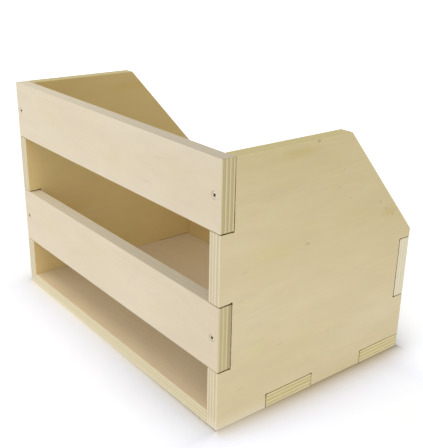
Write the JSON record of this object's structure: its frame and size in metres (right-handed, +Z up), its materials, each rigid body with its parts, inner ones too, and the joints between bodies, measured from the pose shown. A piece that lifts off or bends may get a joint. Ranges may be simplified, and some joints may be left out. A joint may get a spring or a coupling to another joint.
{
  "type": "record storage stand",
  "caption": "Open-topped plywood storage stand with two front slats, sloped side panels, a low back panel and glued tab joints.",
  "frame": {"origin": "middle of the footprint, on the surface that the stand rests on", "axes": "+X across the stand, to the right as seen from the slatted front; +Y from the slatted front to the back; +Z up"},
  "size_m": [0.36, 0.237, 0.24],
  "materials": {
    "side_birch_plywood": "bare sanded birch plywood, seven plies, satin",
    "slat_birch_plywood": "bare sanded birch plywood, seven plies, satin, paler face veneer",
    "base_birch_plywood": "bare sanded birch plywood, seven plies, satin",
    "screw_steel": "zinc-plated steel, slightly dull"
  },
  "bodies": {
    "root": {"left_side_panel": "side_birch_plywood", "right_side_panel": "side_birch_plywood", "base_panel": "base_birch_plywood", "back_panel": "side_birch_plywood", "upper_slat": "slat_birch_plywood", "lower_slat": "slat_birch_plywood", "slat_screws": "screw_steel"}
  },
  "joints": []
}
